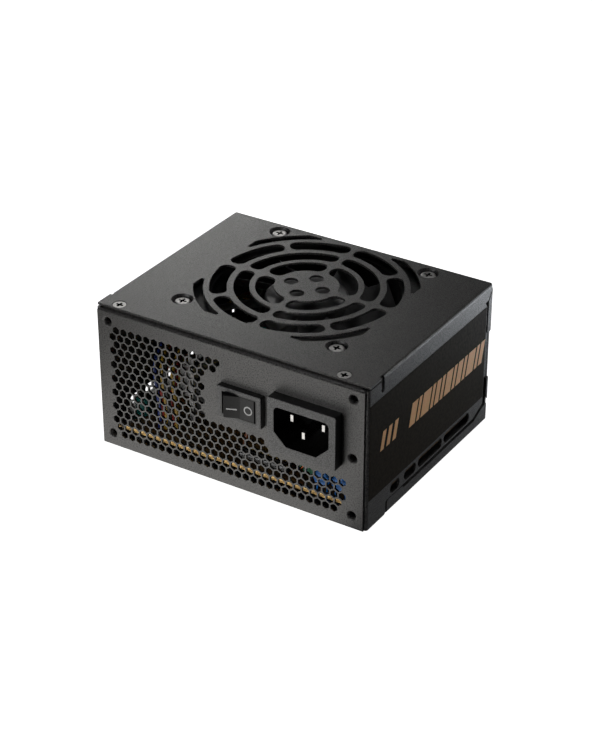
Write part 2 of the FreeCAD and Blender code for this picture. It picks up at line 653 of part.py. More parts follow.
def blade_section(radius, chord, rise, sweep, thick):
    """Closed airfoil outline, in the plane x = radius, of the blade that points along +X."""
    low = FAN_LOW + 3.2
    lead = vec(radius, chord / 2 + sweep, low + rise)
    trail = vec(radius, -chord / 2 + sweep, low)
    middle = (lead + trail) * 0.5
    across = (trail - lead).normalize()
    normal = vec(0, across.z, -across.y)
    camber = normal * (-0.10 * chord)
    half = normal * (thick / 2)
    tip = normal * 0.15
    upper = Part.Arc(lead + tip, middle + camber + half, trail + tip).toShape()
    lower = Part.Arc(trail - tip, middle + camber - half, lead - tip).toShape()
    ends = [Part.LineSegment(trail + tip, trail - tip).toShape(),
            Part.LineSegment(lead - tip, lead + tip).toShape()]
    return Part.Wire([upper, ends[0], lower, ends[1]])


def fan_rotor():
    bottom = FAN_LOW + 3.0
    top = FAN_TOP - 0.8
    hub = rod("z", FAN_X, FAN_Y, bottom, top, HUB_R)
    rim = [edge for edge in hub.Edges if edge.BoundBox.ZMin > top - 0.01]
    hub = hub.makeFillet(1.2, rim[:1])
    hollow = rod("z", FAN_X, FAN_Y, bottom - 1, top - 2.2, HUB_R - 1.3)
    boss = rod("z", FAN_X, FAN_Y, top - 3.8, top - 0.5, 3.2)
    sections = [blade_section(HUB_R - 0.9, 11.0, 9.0, 0.0, 1.6),
                blade_section(26.0, 15.5, 8.6, 4.6, 1.3),
                blade_section(BLADE_TIP_R - 0.8, 20.0, 8.0, 12.0, 1.0)]
    blade = moved(Part.makeLoft(sections, True), FAN_X, FAN_Y, 0)
    band = pipe("z", FAN_X, FAN_Y, bottom - 2, top + 2, BLADE_TIP_R, HUB_R - 0.6)
    blade = blade.common(band)
    blades = [turned(blade, vec(FAN_X, FAN_Y, 0), vec(0, 0, 1), BLADE_PHASE + k * 360 / BLADES)
              for k in range(BLADES)]
    shell = fuse([hub] + blades).cut(hollow)
    return fuse([shell, boss]).cut(rod("z", FAN_X, FAN_Y, bottom, top - 1.7, SHAFT_R))


def rotor_shaft():
    return rod("z", FAN_X, FAN_Y, FAN_LOW + 1.0, FAN_TOP - 2.5, SHAFT_R)


def shaft_clip():
    return pipe("z", FAN_X, FAN_Y, FAN_LOW + 1.5, FAN_LOW + 2.0, 2.6, SHAFT_R)


def rotor_yoke():
    return pipe("z", FAN_X, FAN_Y, FAN_LOW + 4.0, FAN_TOP - 3.1, HUB_R - 1.35, HUB_R - 2.35)


def rotor_magnet():
    return pipe("z", FAN_X, FAN_Y, FAN_LOW + 4.6, FAN_TOP - 3.6, HUB_R - 2.4, HUB_R - 3.9)


def fan_bearing():
    return pipe("z", FAN_X, FAN_Y, FAN_LOW + 2.4, FAN_LOW + 9.4, 2.98, SHAFT_R + 0.03)


def fan_board():
    return pipe("z", FAN_X, FAN_Y, FAN_LOW + 2.1, FAN_LOW + 3.0, 13.4, 4.05)


def stator_core():
    """Laminated core: a ring on the bearing tube with four arms and curved pole shoes."""
    low = FAN_LOW + 5.2
    high = FAN_LOW + 8.6
    parts = [pipe("z", FAN_X, FAN_Y, low, high, 6.2, 4.03)]
    shoes = pipe("z", FAN_X, FAN_Y, low, high, 12.5, 11.2)
    for index in range(4):
        arm = box(FAN_X + 5.5, FAN_X + 11.8, FAN_Y - 1.3, FAN_Y + 1.3, low, high)
        shoe = shoes.common(box(FAN_X + 9, FAN_X + 14, FAN_Y - 7, FAN_Y + 7, low, high))
        for piece in (arm, shoe):
            parts.append(turned(piece, vec(FAN_X, FAN_Y, 0), vec(0, 0, 1), index * 90))
    return fuse(parts)


def stator_coils():
    low = FAN_LOW + 5.2
    high = FAN_LOW + 8.6
    coils = []
    for index in range(4):
        coil = rounded_box(FAN_X + 6.7, FAN_X + 10.6, FAN_Y - 3.3, FAN_Y + 3.3,
                           low - 1.4, high + 1.4, "x", 1.2)
        coil = coil.cut(box(FAN_X + 5, FAN_X + 12, FAN_Y - 1.35, FAN_Y + 1.35, low - 0.05, high + 0.05))
        coils.append(turned(coil, vec(FAN_X, FAN_Y, 0), vec(0, 0, 1), index * 90))
    return Part.makeCompound(coils)


# ---- boards and sockets -----------------------------------------------------------------------
def main_board():
    board = box(-BOARD_X, BOARD_X, BOARD_FRONT, BOARD_REAR, BOARD_LOW, BOARD)
    holes = [rod("z", x, y, BOARD_LOW - 1, BOARD + 1, 1.6) for x, y in board_screw_places()]
    return cut(board, holes)


def control_board():
    """Upright daughter card with its control chips on both faces."""
    card = box(-15.0, 9.0, 31.0, 32.2, BOARD, 34.0)
    chips = [box(-12.0, -4.0, 32.1, 33.6, 20.0, 25.5), box(-1.0, 6.0, 29.6, 31.1, 17.0, 21.5),
             box(-1.0, 4.0, 32.1, 33.3, 11.0, 15.0), box(-12.0, -8.0, 29.8, 31.1, 24.0, 28.0)]
    return fuse([card] + chips)


def connector_board():
    return box(-52.0, 47.0, BACKPLANE_Y, BACKPLANE_Y + BACKPLANE_T, 8.4, 43.6)


def socket_cells(columns, x, z):
    half = (columns - 1) / 2
    return [(x + (column - half) * SOCKET_PITCH, z + side * SOCKET_PITCH / 2)
            for column in range(columns) for side in (-1, 1)]


def dc_sockets():
    housings = []
    for columns, x, z in SOCKETS:
        width, height = socket_size(columns)
        front = BACKPLANE_Y + BACKPLANE_T
        block = box(x - width / 2, x + width / 2, front, SOCKET_REAR, z - height / 2, z + height / 2)
        catch = prism("x", [(45.4, z + height / 2 - 0.1), (45.4, z + height / 2 + 0.5),
                            (48.5, z + height / 2 + 1.8), (SOCKET_REAR, z + height / 2 + 1.8),
                            (SOCKET_REAR, z + height / 2 - 0.1)], x - 1.9, x + 1.9)
        cells = [box(cx - 1.65, cx + 1.65, SOCKET_REAR - 8.5, SOCKET_REAR + 1, cz - 1.65, cz + 1.65)
                 for cx, cz in socket_cells(columns, x, z)]
        pins = [box(cx - 0.55, cx + 0.55, front - 1, SOCKET_REAR, cz - 0.55, cz + 0.55)
                for cx, cz in socket_cells(columns, x, z)]
        housings.append(cut(fuse([block, catch]), cells + pins))
    return Part.makeCompound(housings)


def socket_pins():
    pins = []
    for columns, x, z in SOCKETS:
        for cx, cz in socket_cells(columns, x, z):
            pins.append(box(cx - 0.55, cx + 0.55, BACKPLANE_Y + BACKPLANE_T, SOCKET_REAR - 2.2,
                            cz - 0.55, cz + 0.55))
    return Part.makeCompound(pins)


# ---- components on the main board -------------------------------------------------------------
def wedge(axis, centre, start, end, reach, low, high):
    """A sector about an axis, to cut a ring with; angles in degrees."""
    steps = max(2, int((end - start) / 40) + 1)
    points = [centre]
    for step in range(steps + 1):
        angle = math.radians(start + (end - start) * step / steps)
        points.append((centre[0] + reach * math.cos(angle), centre[1] + reach * math.sin(angle)))
    return prism(axis, points, low, high)


def toroid(axis, centre, middle, radii):
    """Plain ring core with a rectangular section."""
    outer, inner, width = radii
    return pipe(axis, centre[0], centre[1], middle - width / 2, middle + width / 2, outer, inner)


def winding(axis, centre, middle, radii, thick, spans):
    """Copper around a ring core, open between the spans of angle it covers."""
    outer, inner, width = radii
    half = width / 2
    sleeve = pipe(axis, centre[0], centre[1], middle - half - thick, middle + half + thick,
                  outer + thick, inner - thick)
    core = pipe(axis, centre[0], centre[1], middle - half - 0.02, middle + half + 0.02,
                outer + 0.02, inner - 0.02)
    shell = sleeve.cut(core)
    parts = []
    for start, end in spans:
        sector = wedge(axis, centre, start, end, outer * 3, middle - width * 2, middle + width * 2)
        parts.append(shell.common(sector).Solids[0])
    return Part.makeCompound(parts)


PFC_Z = BOARD + PFC_RADII[0] + 1.6
EMI_Z = BOARD + EMI_RADII[0] + 1.6
OUTPUT_CHOKE_Z = BOARD + OUTPUT_RADII[2] / 2 + 1.6


def pfc_choke():
    return toroid("x", (PFC[1], PFC_Z), PFC[0], PFC_RADII)


def pfc_winding():
    return winding("x", (PFC[1], PFC_Z), PFC[0], PFC_RADII, 1.3, [(-70, 250)])


def emi_choke():
    return toroid("y", (EMI[0], EMI_Z), EMI[1], EMI_RADII)


def emi_winding():
    return winding("y", (EMI[0], EMI_Z), EMI[1], EMI_RADII, 1.3, [(-68, 68), (112, 248)])


def output_choke():
    return toroid("z", OUTPUT_CHOKE, OUTPUT_CHOKE_Z, OUTPUT_RADII)


def output_winding():
    return winding("z", OUTPUT_CHOKE, OUTPUT_CHOKE_Z, OUTPUT_RADII, 1.4, [(-160, 160)])


def can(x, y, radius, height):
    """Electrolytic capacitor with a rolled top edge and a groove above its bottom."""
    body = rod("z", x, y, BOARD + 0.3, BOARD + 0.3 + height, radius)
    body = body.makeFillet(0.8, [edge for edge in body.Edges if edge.BoundBox.ZMin > BOARD + height][:1])
    groove = Part.makeTorus(radius + 0.25, 0.7, vec(x, y, BOARD + 2.8), vec(0, 0, 1))
    return body.cut(groove)


def bulk_capacitor():
    return can(*BULK)


def output_capacitors():
    return Part.makeCompound([can(*place) for place in OUTPUT_CAPS])


def transformer_core():
    x, y = TRANSFORMER
    core = box(x - 14.5, x + 14.5, y - 5.5, y + 5.5, BOARD + 1.0, BOARD + 26.0)
    windows = [box(x + side * 9.0 - 3.2, x + side * 9.0 + 3.2, y - 9, y + 9, BOARD + 5.0, BOARD + 22.0)
               for side in (-1, 1)]
    return cut(core, windows)


def transformer_winding():
    x, y = TRANSFORMER
    low = BOARD + 5.2
    coil = rounded_box(x - 12.0, x + 12.0, y - 11.5, y + 11.5, low, BOARD + 21.8, "z", 5.0)
    inside = box(x - 5.85, x + 5.85, y - 5.55, y + 5.55, BOARD, BOARD + 30)
    return coil.cut(inside)


def standby_transformer():
    """Small transformer: taped winding inside a narrow core, drawn as one potted block."""
    x, y = STANDBY
    coil = rounded_box(x - 6.5, x + 6.5, y - 7.0, y + 7.0, BOARD + 2.5, BOARD + 12.5, "z", 2.5)
    core = box(x - 8.0, x + 8.0, y - 3.0, y + 3.0, BOARD + 0.3, BOARD + 14.5)
    return fuse([coil, core])


def finned_plate(x0, direction, y0, y1, z0, z1, fins):
    """Upright heatsink plate with fins that run up it on one side."""
    plate = box(min(x0, x0 + 2.0), max(x0, x0 + 2.0), y0, y1, z0, z1)
    parts = [plate]
    base = x0 + 2.0 if direction > 0 else x0
    for index in range(fins):
        y = y0 + 1.0 + index * (y1 - y0 - 3.2) / (fins - 1)
        ends = sorted((base - direction * 0.1, base + direction * 5.0))
        parts.append(box(ends[0], ends[1], y, y + 1.2, z1 - 14.5, z1))
    return fuse(parts)


def primary_heatsink():
    return finned_plate(PRIMARY_SINK_X, 1, -25.0, 4.0, BOARD + 0.3, 41.0, 6)


def secondary_heatsink():
    return finned_plate(SECONDARY_SINK_X, -1, -31.0, 7.0, BOARD + 0.3, 35.0, 7)


def power_package(face_x, direction, y):
    """Power semiconductor flat against a heatsink, with its three leads in the board."""
    def slab(d0, d1, y0, y1, z0, z1):
        ends = sorted((face_x + direction * d0, face_x + direction * d1))
        return box(ends[0], ends[1], y0, y1, z0, z1)
    body = slab(0.05, 4.5, y - 5.0, y + 5.0, 14.0, 23.5)
    tab = slab(0.05, 1.3, y - 5.0, y + 5.0, 23.4, 29.0).cut(rod("x", y, 26.6, -70, 70, 1.8))
    leads = [slab(2.0, 2.7, y + dy - 0.4, y + dy + 0.4, BOARD, 14.1) for dy in (-2.54, 0, 2.54)]
    return fuse([body, tab] + leads)


def power_transistors():
    return Part.makeCompound([power_package(PRIMARY_SINK_X, -1, y) for y in (-18.5, -7.0)])


def output_rectifiers():
    return Part.makeCompound([power_package(SECONDARY_SINK_X + 2.0, 1, y) for y in (-24.0, -12.5, -1.0)])


def bridge_rectifier():
    x = PRIMARY_SINK_X + 7.6
    body = box(x, x + 4.0, -22.0, -2.0, 12.0, 27.0)
    body = body.makeChamfer(1.0, straight_edges(body, "x")[:1])
    leads = [box(x + 1.6, x + 2.6, y - 0.5, y + 0.5, BOARD, 12.1) for y in (-19.5, -14.5, -9.5, -4.5)]
    return fuse([body] + leads)


def x_capacitor():
    return rounded_box(7.0, 21.0, -34.5, -27.0, BOARD + 0.3, BOARD + 13.0, "z", 0.6)


def disc_capacitor(x, y, radius, thick):
    """Disc capacitor facing the AC panel, on two legs."""
    z = BOARD + 2.2 + radius
    disc = rod("y", x, z, y - thick / 2, y + thick / 2, radius)
    rims = [edge for edge in disc.Edges if edge.Curve.TypeId == "Part::GeomCircle"]
    disc = disc.makeFillet(thick * 0.35, rims)
    legs = [rod("z", x + dx, y, BOARD, z - radius * 0.6, 0.35) for dx in (-2.2, 2.2)]
    return fuse([disc] + legs)


def y_capacitors():
    return Part.makeCompound([disc_capacitor(x, -44.5, 3.7, 2.8) for x in (40.0, 48.2)])


def fuse_tube():
    """Mains fuse lying on the board, with its two end caps."""
    z = BOARD + 3.4
    glass = rod("x", -42.5, z, 4.0, 20.0, 2.5)
    caps = [rod("x", -42.5, z, x, x + 4.5, 2.7) for x in (1.0, 18.5)]
    legs = [box(x, x + 0.8, -42.9, -42.1, BOARD, z) for x in (2.8, 20.4)]
    return fuse([glass] + caps + legs)


# ---- wires ------------------------------------------------------------------------------------
MAINS_WIRE_R = 0.9
OUTPUT_WIRE_R = 0.85


def line_wires():
    """From the inlet's line blade to the switch, and from the switch down to the board."""
    x, z = SWITCH
    line_x = INLET[0] - PIN_SPACING / 2
    first = cord([vec(line_x, -27.9, INLET[1] + 2.2), vec(line_x, -25.4, INLET[1] + 1.0),
                  vec(26.0, -24.0, 37.2), vec(20.0, -24.4, 37.6), vec(x + 5.5, -25.5, z - 0.8),
                  vec(x + 5.5, -28.9, z)], MAINS_WIRE_R)
    second = cord([vec(x, -28.9, z), vec(x, -26.6, z - 1.0), vec(x - 3.0, -25.4, z - 6.0),
                   vec(x - 6.0, -29.0, z - 14.0), vec(x - 7.5, -36.0, z - 22.0),
                   vec(x - 7.7, -38.0, BOARD + 0.35)], MAINS_WIRE_R)
    return Part.makeCompound([first, second])


def neutral_wire():
    x = INLET[0] + PIN_SPACING / 2
    return cord([vec(x, -27.9, INLET[1] + 2.2), vec(x + 1.0, -25.8, INLET[1] - 0.5), vec(47.5, -26.5, 32.0),
                 vec(50.0, -30.5, 22.0), vec(49.0, -35.0, 13.0), vec(47.5, -36.0, BOARD + 0.35)],
                MAINS_WIRE_R)


def earth_wire():
    x, z = INLET
    return cord([vec(x, -27.6, z - 1.8), vec(x + 0.5, -26.2, z - 5.5), vec(x + 3.5, -28.0, 22.0),
                 vec(x + 5.6, -36.0, 14.5), vec(x + 5.2, -38.0, BOARD + 0.35)], MAINS_WIRE_R)


def output_wire(x, y, lean, side, height, end_x, end_z):
    """From the board's front left, leaning to one side, then back along the left wall to the rear."""
    return cord([vec(x, y, BOARD + 0.35), vec(x - 0.4 + lean, y - 1.0, 20.0),
                 vec(x - 1.0 - lean, y + 0.6, height - 3.0), vec(x - 6.0, y + 14.0, height + 1.5),
                 vec(side, y + 28.0, height - 1.0), vec(side, -y - 12.0, height - 2.0),
                 vec(side + 0.6, 31.0, end_z + 1.2), vec(end_x, BACKPLANE_Y - 0.4, end_z)], OUTPUT_WIRE_R)


def wires_yellow():
    return Part.makeCompound([output_wire(-37.0, -39.7, 1.6, -50.2, 41.5, -47.2, 38.6),
                              output_wire(-31.6, -40.1, 1.6, -45.0, 39.5, -44.4, 33.6)])


def wires_red():
    return Part.makeCompound([output_wire(-34.0, -37.0, -1.6, -50.0, 37.0, -47.0, 34.0),
                              output_wire(-39.6, -36.0, -1.6, -54.8, 37.5, -50.4, 35.6)])


def wires_blue():
    return output_wire(-39.8, -40.5, 1.6, -53.2, 40.6, -50.2, 39.4)


def wires_black():
    return Part.makeCompound([output_wire(-36.6, -35.0, -1.6, -52.4, 35.0, -50.0, 32.0),
                              output_wire(-34.2, -41.5, 1.6, -47.4, 40.5, -44.0, 37.5)])


def fan_lead():
    """Two leads from the end of a fan strut down to the board's rear left."""
    pair = []
    for dy in (0.0, 1.5):
        pair.append(cord([vec(-30.0, 34.2 + dy * 0.3, FAN_LOW - 0.8 - dy), vec(-36.0, 33.6 + dy, 42.6 - dy),
                          vec(-40.0, 34.0 + dy, 35.0), vec(-38.6, 33.4 + dy, 24.0),
                          vec(-38.2, 34.0 + dy, 14.0), vec(-38.0, 33.6 + dy, BOARD + 0.35)], 0.6))
    return Part.makeCompound(pair)


NODES = {
    "cover": cover, "base_tray": base_tray, "ac_panel": ac_panel, "side_label": side_label,
    "insulation_sheet": insulation_sheet, "cover_screws": cover_screws, "fan_screws": fan_screws,
    "board_standoffs": board_standoffs, "board_screws": board_screws,
    "inlet_body": inlet_body, "inlet_power_pins": inlet_power_pins, "inlet_earth_pin": inlet_earth_pin,
    "switch_body": switch_body, "switch_rocker": switch_rocker, "switch_plunger": switch_plunger,
    "switch_contact": switch_contact, "switch_terminals": switch_terminals,
    "fan_frame": fan_frame, "fan_rotor": fan_rotor, "rotor_shaft": rotor_shaft,
    "shaft_clip": shaft_clip, "rotor_yoke": rotor_yoke, "rotor_magnet": rotor_magnet,
    "fan_bearing": fan_bearing, "fan_board": fan_board, "stator_core": stator_core,
    "stator_coils": stator_coils, "fan_lead": fan_lead,
    "main_board": main_board, "control_board": control_board, "connector_board": connector_board,
    "dc_sockets": dc_sockets, "socket_pins": socket_pins,
    "pfc_choke": pfc_choke, "pfc_winding": pfc_winding, "emi_choke": emi_choke,
    "emi_winding": emi_winding, "output_choke": output_choke, "output_winding": output_winding,
    "bulk_capacitor": bulk_capacitor, "output_capacitors": output_capacitors,
    "transformer_core": transformer_core, "transformer_winding": transformer_winding,
    "standby_transformer": standby_transformer, "primary_heatsink": primary_heatsink,
    "secondary_heatsink": secondary_heatsink, "power_transistors": power_transistors,
    "output_rectifiers": output_rectifiers, "bridge_rectifier": bridge_rectifier,
    "x_capacitor": x_capacitor, "y_capacitors": y_capacitors, "mains_fuse": fuse_tube,
    "line_wires": line_wires, "neutral_wire": neutral_wire, "earth_wire": earth_wire,
    "wires_yellow": wires_yellow, "wires_red": wires_red, "wires_blue": wires_blue,
    "wires_black": wires_black,
}


def main():
    os.makedirs("parts", exist_ok=True)
    for name, make in NODES.items():
        shape = make()
        shape.exportStep("parts/" + name + ".step")
        print(name, "solids", len(shape.Solids), "valid", shape.isValid(), "volume", round(shape.Volume, 1))


main()
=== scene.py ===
import bmesh
import bpy
import math
from mathutils import Matrix, Vector


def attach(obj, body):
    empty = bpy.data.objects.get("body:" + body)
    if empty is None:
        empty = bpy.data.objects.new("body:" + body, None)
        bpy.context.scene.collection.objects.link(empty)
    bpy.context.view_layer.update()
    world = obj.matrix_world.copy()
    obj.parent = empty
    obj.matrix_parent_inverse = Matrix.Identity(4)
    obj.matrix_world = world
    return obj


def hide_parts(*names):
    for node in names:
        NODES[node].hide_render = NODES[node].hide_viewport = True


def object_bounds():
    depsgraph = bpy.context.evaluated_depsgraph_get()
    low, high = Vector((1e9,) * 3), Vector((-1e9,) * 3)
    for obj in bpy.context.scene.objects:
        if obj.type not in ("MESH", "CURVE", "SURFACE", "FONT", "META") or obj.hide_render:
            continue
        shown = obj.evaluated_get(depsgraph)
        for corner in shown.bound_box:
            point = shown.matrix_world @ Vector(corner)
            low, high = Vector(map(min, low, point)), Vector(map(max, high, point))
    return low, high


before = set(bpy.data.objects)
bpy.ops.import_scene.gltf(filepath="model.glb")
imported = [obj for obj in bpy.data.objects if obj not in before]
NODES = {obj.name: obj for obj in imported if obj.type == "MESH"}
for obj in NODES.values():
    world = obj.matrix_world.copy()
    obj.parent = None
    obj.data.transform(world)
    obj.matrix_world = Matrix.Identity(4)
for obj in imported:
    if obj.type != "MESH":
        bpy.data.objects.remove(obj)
cad_low, cad_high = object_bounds()
MM = 0.001


# ---- camera, floor and lights -------------------------------------------------------------------
CAMERA_PLACE = Vector((382.5, -607.0, 442.8)) * MM
CAMERA_FORWARD = Vector((-0.46216, 0.73329, -0.49869))
CAMERA_LENS = 100.1
ROOM_HALF = 12.0
FLOOR_DROP = 0.0001     # gap between the case and the floor, so that they don't share a plane
BOUNCE_Z = -0.012       # lights that stand for the white table's bounce lie just under it


def make_camera():
    camera = bpy.data.cameras.new("camera")
    camera.lens = CAMERA_LENS
    camera.sensor_width = 36.0
    camera.clip_start = 0.05
    camera.clip_end = 60.0
    holder = bpy.data.objects.new("camera", camera)
    holder.location = CAMERA_PLACE
    holder.rotation_mode = "QUATERNION"
    holder.rotation_quaternion = CAMERA_FORWARD.to_track_quat("-Z", "Y")
    bpy.context.scene.collection.objects.link(holder)
    bpy.context.scene.camera = holder


def new_object(name, mesh):
    made = bpy.data.objects.new(name, mesh)
    bpy.context.scene.collection.objects.link(made)
    return made


def make_floor():
    """White floor and walls that only the camera sees, so that they don't light the case."""
    corners = [(x, y, z) for z in (0, ROOM_HALF) for x, y in ((-1, -1), (1, -1), (1, 1), (-1, 1))]
    places = [(x * ROOM_HALF, y * ROOM_HALF, z) for x, y, z in corners]
    faces = [(0, 1, 2, 3), (4, 7, 6, 5), (0, 4, 5, 1), (1, 5, 6, 2), (2, 6, 7, 3), (3, 7, 4, 0)]
    mesh = bpy.data.meshes.new("floor")
    mesh.from_pydata(places, [], faces)
    floor = new_object("floor", mesh)
    floor.location.z = cad_low.z - FLOOR_DROP
    floor.visible_glossy = False
    floor.visible_diffuse = False
    floor.visible_shadow = False
    paint = bpy.data.materials.new("floor_white")
    paint.use_nodes = True
    shader = paint.node_tree.nodes["Principled BSDF"]
    shader.inputs["Base Color"].default_value = (0.86, 0.86, 0.86, 1)
    shader.inputs["Roughness"].default_value = 0.9
    shader.inputs["Specular IOR Level"].default_value = 0.1
    shader.inputs["Emission Color"].default_value = (1, 1, 1, 1)
    shader.inputs["Emission Strength"].default_value = 1.0
    mesh.materials.append(paint)


def area_light(name, place, aim, size, watts, tint=(1, 1, 1)):
    light = bpy.data.lights.new(name, "AREA")
    light.shape = "RECTANGLE"
    light.size, light.size_y = size
    light.energy = watts
    light.color = tint
    holder = bpy.data.objects.new(name, light)
    holder.location = place
    holder.rotation_mode = "QUATERNION"
    holder.rotation_quaternion = (Vector(aim) - Vector(place)).to_track_quat("-Z", "Y")
    holder.visible_camera = False
    bpy.context.scene.collection.objects.link(holder)


def bounce_light(name, x, y, size, watts, tint=(1, 1, 1)):
    """Light from the white table, straight up."""
    area_light(name, (x, y, BOUNCE_Z), (x, y, 1.0), size, watts, tint)


def make_lights():
    """Soft box at the rear left, weak ones above, in front and at the rear right, and the table's bounce."""
    world = bpy.data.worlds.new("studio")
    world.use_nodes = True
    world.node_tree.nodes["Background"].inputs["Color"].default_value = (0.035, 0.035, 0.037, 1)
    bpy.context.scene.world = world
    area_light("key_rear_left", (-0.47, 0.55, 0.27), (-0.03, 0.03, 0.06),
               (0.24, 0.20), 0.76, (1, 0.995, 0.97))
    area_light("overhead", (0.0, 0.12, 0.80), (0.0, 0.0, 0.05), (0.30, 0.30), 0.7)
    area_light("edge_rear_right", (0.46, 0.66, 0.41), (0.06, 0.0, 0.06), (0.16, 0.16), 1.1)
    bounce_light("bounce_front_left", -0.03, -0.17, (0.15, 0.24), 0.18, (1, 0.985, 0.95))
    area_light("front_fill", (-0.16, -0.62, 0.13), (0, -0.05, 0.03), (0.30, 0.20), 1.8)
    bounce_light("bounce_right", 0.2225, 0.225, (0.315, 0.57), 0.055)
    area_light("glow_rear_right", (0.20, 0.40, BOUNCE_Z), (0.10, 0.10, 0.30),
               (0.22, 0.28), 0.62, (0.90, 0.95, 1))
    bpy.context.scene.view_settings.view_transform = "Standard"


# ---- node materials -----------------------------------------------------------------------------
# places on the CAD nodes, in millimetres, at which a paint changes
INLET_FRONT = -54.8
SWITCH_FRONT = -52.8
BEZEL_FACE_DEPTH = 0.25
SWITCH_SHADOW_BORDER = (7.2, 39.8, 8.35, 5.6)      # painted shadow around the rocker's opening, as x, z, half width, half height
ROCKER_SHADE = (6.5, 4.0)                   # middle and half width of the change of shade along X
POWER_TIP = -50.0
EARTH_TIP = -53.0
BOARD_EDGE = -46.4
TOP_SCREW_FACE = 63.30
REAR_SCREW_FACE = 49.80
FAN_MIDDLE = (0, 8)
FAN_SCREW_AWAY = 35.75
FAN_SCREW_RECESS = 1.95
FAN_SCREW_FACE = 62.58


class Paint:
    """A node material with its shader at hand."""

    def __init__(self, name):
        self.material = bpy.data.materials.new(name)
        self.material.use_nodes = True
        self.tree = self.material.node_tree
        self.shader = self.tree.nodes["Principled BSDF"]
        self.coords = self.tree.nodes.new("ShaderNodeTexCoord")

    def node(self, kind, **settings):
        made = self.tree.nodes.new("ShaderNode" + kind)
        for key, value in settings.items():
            if key in made.inputs:
                made.inputs[key].default_value = value
            else:
                setattr(made, key, value)
        return made

    def link(self, source, target):
        self.tree.links.new(source, target)

    def noise(self, size, detail=2.0, rough=0.5, stretch=(1, 1, 1)):
        """Noise whose blobs are about size millimetres across."""
        mapping = self.node("Mapping")
        mapping.inputs["Scale"].default_value = stretch
        self.link(self.coords.outputs["Object"], mapping.inputs["Vector"])
        made = self.node("TexNoise")
        made.inputs["Scale"].default_value = 1.0 / (size * MM)
        made.inputs["Detail"].default_value = detail
        made.inputs["Roughness"].default_value = rough
        self.link(mapping.outputs[0], made.inputs["Vector"])
        return made.outputs[0]

    def ramp(self, source, stops):
        made = self.node("ValToRGB")
        elements = made.color_ramp.elements
        while len(elements) < len(stops):
            elements.new(0.5)
        for element, (position, colour) in zip(elements, stops):
            element.position = position
            element.color = (*colour, 1)
        self.link(source, made.inputs[0])
        return made.outputs[0]

    def spread(self, source, low, high, at=(0.3, 0.7)):
        made = self.node("MapRange")
        made.inputs[1].default_value = at[0]
        made.inputs[2].default_value = at[1]
        made.inputs[3].default_value = low
        made.inputs[4].default_value = high
        self.link(source, made.inputs[0])
        return made.outputs[0]

    def bump(self, source, height, strength=1.0):
        made = self.node("Bump")
        made.inputs["Strength"].default_value = strength
        made.inputs["Distance"].default_value = height * MM
        self.link(source, made.inputs["Height"])
        self.link(made.outputs[0], self.shader.inputs["Normal"])

    def mix(self, factor, first, second, blend="MIX"):
        made = self.node("Mix", data_type="RGBA", blend_type=blend)
        for socket, value in ((made.inputs[0], factor), (made.inputs[6], first), (made.inputs[7], second)):
            if isinstance(value, (int, float)):
                socket.default_value = value
            elif isinstance(value, tuple):
                socket.default_value = (*value, 1)
            else:
                self.link(value, socket)
        return made.outputs[2]

    def beyond(self, axis, value, edge=0.05):
        """1 where the object coordinate along an axis is above a value in millimetres, 0 below."""
        split = self.node("SeparateXYZ")
        self.link(self.coords.outputs["Object"], split.inputs[0])
        return self.spread(split.outputs[axis], 0.0, 1.0, ((value - edge) * MM, (value + edge) * MM))

    def apart(self, axis, *centres):
        """Distance along an axis from a centre; a second centre measures from the mirrored pair."""
        split = self.node("SeparateXYZ")
        self.link(self.coords.outputs["Object"], split.inputs[0])
        source = split.outputs[axis]
        for centre in centres:
            shifted = self.node("Math", operation="SUBTRACT")
            self.link(source, shifted.inputs[0])
            shifted.inputs[1].default_value = centre * MM
            size = self.node("Math", operation="ABSOLUTE")
            self.link(shifted.outputs[0], size.inputs[0])
            source = size.outputs[0]
        return source

    def within(self, source, half, edge=0.05):
        """1 where a distance is below half, in millimetres, 0 beyond it."""
        return self.spread(source, 1.0, 0.0, ((half - edge) * MM, (half + edge) * MM))

    def math(self, operation, first, second):
        made = self.node("Math", operation=operation)
        self.link(first, made.inputs[0])
        self.link(second, made.inputs[1])
        return made.outputs[0]

    def upward(self):
        """1 on faces that look up."""
        split = self.node("SeparateXYZ")
        self.link(self.coords.outputs["Normal"], split.inputs[0])
        return self.spread(split.outputs["Z"], 0.0, 1.0, (0.85, 0.95))

    def colour(self, source):
        self.link(source, self.shader.inputs["Base Color"])

    def rough(self, source):
        self.link(source, self.shader.inputs["Roughness"])

    def set(self, **values):
        names = {"metallic": "Metallic", "specular": "Specular IOR Level"}
        for key, value in values.items():
            self.shader.inputs[names[key]].default_value = value


def powder_coat(name, dark, light, roughness, specular=0.5, height=0.105):
    """Fine-grained baked powder paint."""
    paint = Paint(name)
    fine = paint.noise(0.50, 2.0, 0.6)
    cloud = paint.noise(9.0, 2.0)
    grain = paint.ramp(fine, [(0.39, dark), (0.61, light)])
    tone = paint.ramp(cloud, [(0.3, grey(0.88)), (0.7, grey(1.0))])
    paint.colour(paint.mix(1.0, grain, tone, "MULTIPLY"))
    paint.rough(paint.spread(fine, roughness + 0.14, roughness - 0.14, (0.38, 0.62)))
    paint.bump(fine, height, 1.0)
    paint.set(specular=specular)
    return paint.material


def plastic(name, dark, light, roughness, size=0.5, height=0.01, specular=0.5):
    paint = Paint(name)
    fine = paint.noise(size, 2.0)
    paint.colour(paint.ramp(fine, [(0.35, dark), (0.65, light)]))
    paint.rough(paint.spread(fine, roughness + 0.05, roughness - 0.05))
    paint.bump(fine, height, 0.5)
    paint.set(specular=specular)
    return paint.material


def metal(name, dark, light, roughness, size=0.6, height=0.004, stretch=(1, 1, 1)):
    paint = Paint(name)
    fine = paint.noise(size, 3.0, 0.6, stretch)
    paint.colour(paint.ramp(fine, [(0.3, dark), (0.7, light)]))
    paint.rough(paint.spread(fine, roughness + 0.08, roughness - 0.06))
    paint.bump(fine, height, 0.5)
    paint.set(metallic=1.0)
    return paint.material


